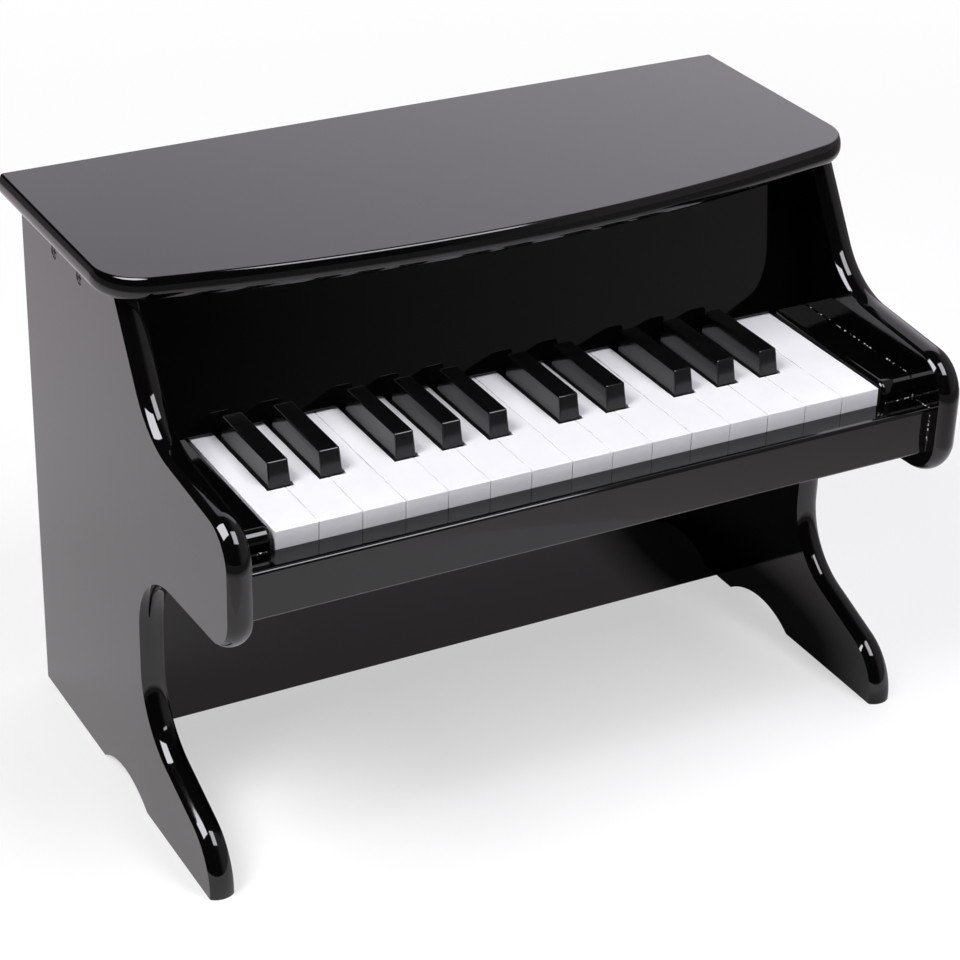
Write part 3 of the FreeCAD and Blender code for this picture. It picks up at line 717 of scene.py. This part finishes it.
def makeWhiteKey(name):
    lo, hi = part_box(name)
    top = lo.z + whiteKey["thick"] * mm
    headBack = lo.y + whiteKey["headLength"] * mm
    tailFrom, tailTo = tailSpan(name, hi.y)
    lo.x -= whiteKey["paintBuild"] * mm  # the coats of paint close part of the gap between two keys
    hi.x += whiteKey["paintBuild"] * mm
    bm = bmesh.new()
    notches = [x for x in (tailFrom, tailTo) if lo.x + tiny < x < hi.x - tiny]
    addBlock(bm, lo, (hi.x, headBack if notches else hi.y, top))
    for x in notches:
        cutAcross(bm, x, acrossX)
    if notches:
        tailFace = [f for f in bm.faces if same(f.calc_center_median().y, headBack)
                    and tailFrom - tiny < f.calc_center_median().x < tailTo + tiny]
        extrudeFaces(bm, tailFace, intoY * (hi.y - headBack))
        bmesh.ops.dissolve_limit(bm, angle_limit=math.radians(whiteKey["flatAngle"]), verts=bm.verts[:],
                                 edges=bm.edges[:])
    bmesh.ops.recalc_face_normals(bm, faces=bm.faces[:])
    rim = [e for e in bm.edges if liesAt(e, "z", top)]
    uprights = [e for e in bm.edges if same(e.verts[0].co.x, e.verts[1].co.x) and liesAt(e, "y", lo.y)]
    roundEdges(bm, rim + uprights, whiteKey["edge"] * mm, whiteKey["edgeSteps"])
    addHammer(bm, (tailFrom + tailTo) / 2, hi.y, top, hi.z)
    newPiece(name + "_painted", bm, [whiteKeyPaint, planedBeech], name, [name])


def makeBlackKey(name):
    lo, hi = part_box(name)
    middleX = (lo.x + hi.x) / 2
    leverTop = lo.z + blackKey["leverThick"] * mm
    capTop = leverTop + blackKey["capRise"] * mm
    capBack = lo.y + blackKey["capLength"] * mm
    bm = bmesh.new()
    addBlock(bm, lo, (hi.x, hi.y, leverTop))
    cap = addBlock(bm, (lo.x, lo.y, leverTop), (hi.x, capBack, capTop))
    for v in cap:
        if same(v.co.z, capTop):
            v.co.x -= math.copysign(blackKey["sideTaper"] * mm, v.co.x - middleX)
            v.co.y += blackKey["frontSlope"] * mm if same(v.co.y, lo.y) else -blackKey["backSlope"] * mm
    uprights = [e for e in edgesOf(cap) if not same(e.verts[0].co.z, e.verts[1].co.z)]
    crown = [e for e in edgesOf(cap) if liesAt(e, "z", capTop)]
    roundEdges(bm, crown + uprights, blackKey["edge"] * mm, blackKey["edgeSteps"])
    addHammer(bm, middleX, hi.y, leverTop, hi.z)
    newPiece(name + "_painted", bm, [blackKeyPaint, planedBeech], name, [name])


for name in sorted(nodes):
    if name.endswith("_felt"):
        continue
    if name.startswith("white_key_"):
        makeWhiteKey(name)
    if name.startswith("black_key_"):
        makeBlackKey(name)
print("keys done")

# Inner pieces keep their own meshes and take their real finish
innerFinish = {
    planedBeech: ("balance_rail", "back_rail", "back_cleat_left", "back_cleat_right", "top_cleat_left",
                  "top_cleat_right"),
    pianoLacquer: ("key_bed",),
    blackPly: ("back_panel",),
    woolFelt: ("white_key_felt", "black_key_felt", "back_felt"),
    rodSteel: ("balance_pins", "front_guide_pins", "tone_rods"),
    screwSteel: ("top_board_screws",),
    blockIron: ("tone_block",),
}
for material, names in innerFinish.items():
    for name in names:
        nodes[name].data.materials.clear()
        nodes[name].data.materials.append(material)
print("inner pieces finished")


# Studio, in metres

mirroredTint = "#fff5fc"  # of the paper and the room, as the lacquer mirrors them


# A flat piece of the stage, and the tree of its material with nothing but the output in it
def newStagePiece(name, bm, materialName):
    mesh = bpy.data.meshes.new(name)
    bm.to_mesh(mesh)
    bm.free()
    piece = bpy.data.objects.new(name, mesh)
    bpy.context.scene.collection.objects.link(piece)
    material = bpy.data.materials.new(materialName)
    material.use_nodes = True
    tree = material.node_tree
    tree.nodes.remove(tree.nodes["Principled BSDF"])
    mesh.materials.append(material)
    return piece, tree


# White paper floor: seen directly or in the lacquer it is white, with the object's shadow near the object,
# a little deeper in the gloss. In the gloss a strip along the right leg has a painted shadow, darkened by its
# distance from the leg and not by the lamps
paperFloor = {
    "paper": "#f3f3f3", "half": 12.0, "shadowCentre": (0.12, -0.15, 0.0), "shadowNear": 0.45,
    "shadowFar": 1.3, "shadowSeen": 0.45, "shadowInGloss": 0.55,
    "paintedShadowCentre": (0.19, 0.03, 0.0), "paintedShadowNarrow": (2.5, 1.0, 1.0), "paintedShadowNear": 0.085, "paintedShadowFar": 0.16,
    "paintedShadowDim": 0.08,
}


def makeFloor():
    bm = bmesh.new()
    bmesh.ops.create_grid(bm, x_segments=2, y_segments=2, size=paperFloor["half"])
    floor, tree = newStagePiece("floor", bm, "whitePaper")
    place = addNode(tree, "ShaderNodeTexCoord").outputs["Object"]
    path = addNode(tree, "ShaderNodeLightPath").outputs
    away = addNode(tree, "ShaderNodeVectorMath", {"operation": "DISTANCE", 1: paperFloor["shadowCentre"]},
                   {0: place})
    inGloss = paperFloor["shadowInGloss"]
    depth = addNode(tree, "ShaderNodeMath",
                    {"operation": "MULTIPLY_ADD", 1: paperFloor["shadowSeen"] - inGloss, 2: inGloss},
                    {0: path["Is Camera Ray"]})
    shade = addNode(tree, "ShaderNodeMapRange",
                    {"From Min": paperFloor["shadowNear"], "From Max": paperFloor["shadowFar"],
                     "To Max": 0.0}, {"Value": away.outputs["Value"], "To Min": depth.outputs[0]})
    # painted shadow along the right leg: darker the nearer the leg, for the gloss alone
    fromPaintedShadow = addNode(tree, "ShaderNodeVectorMath", {"operation": "SUBTRACT", 1: paperFloor["paintedShadowCentre"]},
                        {0: place})
    narrowed = addNode(tree, "ShaderNodeVectorMath", {"operation": "MULTIPLY", 1: paperFloor["paintedShadowNarrow"]},
                       {0: fromPaintedShadow.outputs["Vector"]})
    reach = addNode(tree, "ShaderNodeVectorMath", {"operation": "LENGTH"}, {0: narrowed.outputs["Vector"]})
    paintedLegShadow = addNode(tree, "ShaderNodeMapRange",
                    {"From Min": paperFloor["paintedShadowNear"], "From Max": paperFloor["paintedShadowFar"],
                     "To Min": paperFloor["paintedShadowDim"]}, {"Value": reach.outputs["Value"]})
    # the painted shadow dims the lit paper and its glow, but not where the paper is seen directly
    level = addNode(tree, "ShaderNodeMath", {"operation": "MAXIMUM"},
                    {0: paintedLegShadow.outputs["Result"], 1: path["Is Camera Ray"]})
    lit = addNode(tree, "ShaderNodeBsdfDiffuse", {}, {"Color": level.outputs[0]})
    white = addNode(tree, "ShaderNodeMix",
                    {"data_type": "RGBA", "A": toLinear(mirroredTint), "B": toLinear("#ffffff")},
                    {"Factor": path["Is Camera Ray"]})
    glow = addNode(tree, "ShaderNodeEmission", {},
                   {"Color": white.outputs["Result"], "Strength": level.outputs[0]})
    look = addNode(tree, "ShaderNodeMixShader", {},
                   {0: shade.outputs["Result"], 1: glow.outputs[0], 2: lit.outputs[0]})
    plain = addNode(tree, "ShaderNodeBsdfDiffuse", {"Color": toLinear(paperFloor["paper"])})
    seen = addNode(tree, "ShaderNodeMath", {"operation": "MAXIMUM"},
                   {0: path["Is Camera Ray"], 1: path["Is Glossy Ray"]})
    shown = addNode(tree, "ShaderNodeMath", {"operation": "MAXIMUM"},
                    {0: seen.outputs[0], 1: path["Is Transmission Ray"]})
    paper = addNode(tree, "ShaderNodeMixShader", {},
                    {0: shown.outputs[0], 1: plain.outputs[0], 2: look.outputs[0]})
    tree.links.new(paper.outputs[0], tree.nodes["Material Output"].inputs["Surface"])
    floor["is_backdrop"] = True


# The lacquer mirrors where the paper ends and the dim floor of the room begins; nothing else sees this ring
roomFloor = {"centre": (-0.1, 0.35, 0.0), "lift": 0.001, "paperEnds": 0.75, "dimFrom": 1.05, "dim": 0.2,
             "sides": 96}


def makeRoomFloor():
    bm = bmesh.new()
    place = Matrix.Translation(Vector(roomFloor["centre"]) + upZ * roomFloor["lift"])
    for radius in (roomFloor["paperEnds"], paperFloor["half"]):
        bmesh.ops.create_circle(bm, segments=roomFloor["sides"], radius=radius, matrix=place)
    bmesh.ops.bridge_loops(bm, edges=bm.edges[:])
    floor, tree = newStagePiece("roomFloor", bm, "dimRoomFloor")
    for ray in ("camera", "diffuse", "transmission", "shadow"):
        setattr(floor, "visible_" + ray, False)
    spot = addNode(tree, "ShaderNodeTexCoord").outputs["Object"]
    fromCentre = addNode(tree, "ShaderNodeVectorMath", {"operation": "DISTANCE", 1: roomFloor["centre"]},
                         {0: spot})
    fade = addNode(tree, "ShaderNodeMapRange",
                   {"From Min": roomFloor["paperEnds"], "From Max": roomFloor["dimFrom"], "To Min": 1.0,
                    "To Max": roomFloor["dim"]}, {"Value": fromCentre.outputs["Value"]})
    glow = addNode(tree, "ShaderNodeEmission", {"Color": toLinear(mirroredTint)},
                   {"Strength": fade.outputs["Result"]})
    tree.links.new(glow.outputs[0], tree.nodes["Material Output"].inputs["Surface"])
    floor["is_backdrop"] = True


# Soft boxes round the target: a tall one over the front right, one at the left that shows only in the gloss,
# a fill for the paint alone and a wide one behind
lampTarget = (0.0, -0.08, 0.15)
softBoxes = {
    "frontBox": {"way": (0.262, -0.456, 0.851), "distance": 1.5, "size": (0.61, 0.775), "radiance": 10.6,
                 "tint": "#f9f9ff", "inPaint": True, "inGloss": True},
    "leftBox": {"way": (-0.479, -0.092, 0.873), "distance": 1.0, "size": (0.583, 0.537), "radiance": 17.0,
                "tint": "#f9f9ff", "inPaint": False, "inGloss": True},
    "fillBox": {"way": (-0.6, -0.1, 0.79), "distance": 2.0, "size": (0.9, 0.9), "radiance": 12.4,
                "tint": "#ffffff", "inPaint": True, "inGloss": False},
    "backBox": {"way": (0.46, 0.85, 0.52), "distance": 2.4, "size": (2.6, 2.6), "radiance": 1.19,
                "tint": "#f9f4ff", "inPaint": True, "inGloss": True},
}


def makeSoftBox(name, sizes):
    lamp = bpy.data.lights.new(name, "AREA")
    lamp.shape = "RECTANGLE"
    lamp.size, lamp.size_y = sizes["size"]
    lamp.energy = sizes["radiance"] * math.pi * lamp.size * lamp.size_y
    lamp.color = toLinear(sizes["tint"])[:3]
    box = bpy.data.objects.new(name, lamp)
    way = Vector(sizes["way"]).normalized()
    side = (acrossX - way * way.x).normalized()
    turn = Matrix((side, way.cross(side), way)).transposed().to_4x4()
    box.matrix_world = Matrix.Translation(Vector(lampTarget) + way * sizes["distance"]) @ turn
    box.visible_diffuse = sizes["inPaint"]
    box.visible_glossy = sizes["inGloss"]
    bpy.context.scene.collection.objects.link(box)


# The room is dim but for its right side; from and to are shares of a sight line's way across
room = {"dim": 0.025, "bright": 0.36, "from": 0.34, "to": 0.60}


def makeRoom():
    world = bpy.data.worlds.new("dimRoom")
    bpy.context.scene.world = world
    world.use_nodes = True
    tree = world.node_tree
    way = addNode(tree, "ShaderNodeTexCoord").outputs["Generated"]
    across = addNode(tree, "ShaderNodeSeparateXYZ", {}, {0: way})
    rise = addNode(tree, "ShaderNodeMapRange",
                   {"From Min": room["from"], "From Max": room["to"], "To Min": room["dim"],
                    "To Max": room["bright"]}, {"Value": across.outputs["X"]})
    tree.links.new(rise.outputs["Result"], tree.nodes["Background"].inputs["Strength"])
    tree.nodes["Background"].inputs["Color"].default_value = toLinear(mirroredTint)


makeRoomFloor()
makeFloor()
for name, sizes in softBoxes.items():
    makeSoftBox(name, sizes)
makeRoom()

# Camera at the photograph's place: metres, degrees, millimetres of film, and shares of the frame
photoCamera = {"place": (-0.57527, -1.01310, 0.76802), "azimuth": -28.7167, "elevation": 28.7099,
               "roll": 1.513, "lens": 101.09, "film": 36, "shiftX": 0.03196, "shiftY": -0.00444,
               "sightEnds": 50}


def makeCamera():
    camera = bpy.data.cameras.new("photoCamera")
    camera.sensor_width = photoCamera["film"]
    camera.lens = photoCamera["lens"]
    camera.shift_x = photoCamera["shiftX"]
    camera.shift_y = photoCamera["shiftY"]
    camera.clip_end = photoCamera["sightEnds"]
    holder = bpy.data.objects.new("photoCamera", camera)
    turn = Matrix.Rotation(math.radians(photoCamera["azimuth"]), 4, "Z")
    tip = Matrix.Rotation(math.radians(90 - photoCamera["elevation"]), 4, "X")
    roll = Matrix.Rotation(math.radians(photoCamera["roll"]), 4, "Z")
    holder.matrix_world = Matrix.Translation(photoCamera["place"]) @ turn @ tip @ roll
    bpy.context.scene.collection.objects.link(holder)
    bpy.context.scene.camera = holder


makeCamera()
bpy.context.scene.view_settings.view_transform = "Standard"
print("studio and camera ready")

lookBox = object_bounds()
sizes = {"cad": [list(corner) for corner in cadBox], "visual": [list(corner) for corner in lookBox]}
print("cad box", sizes["cad"], "visual box", sizes["visual"])
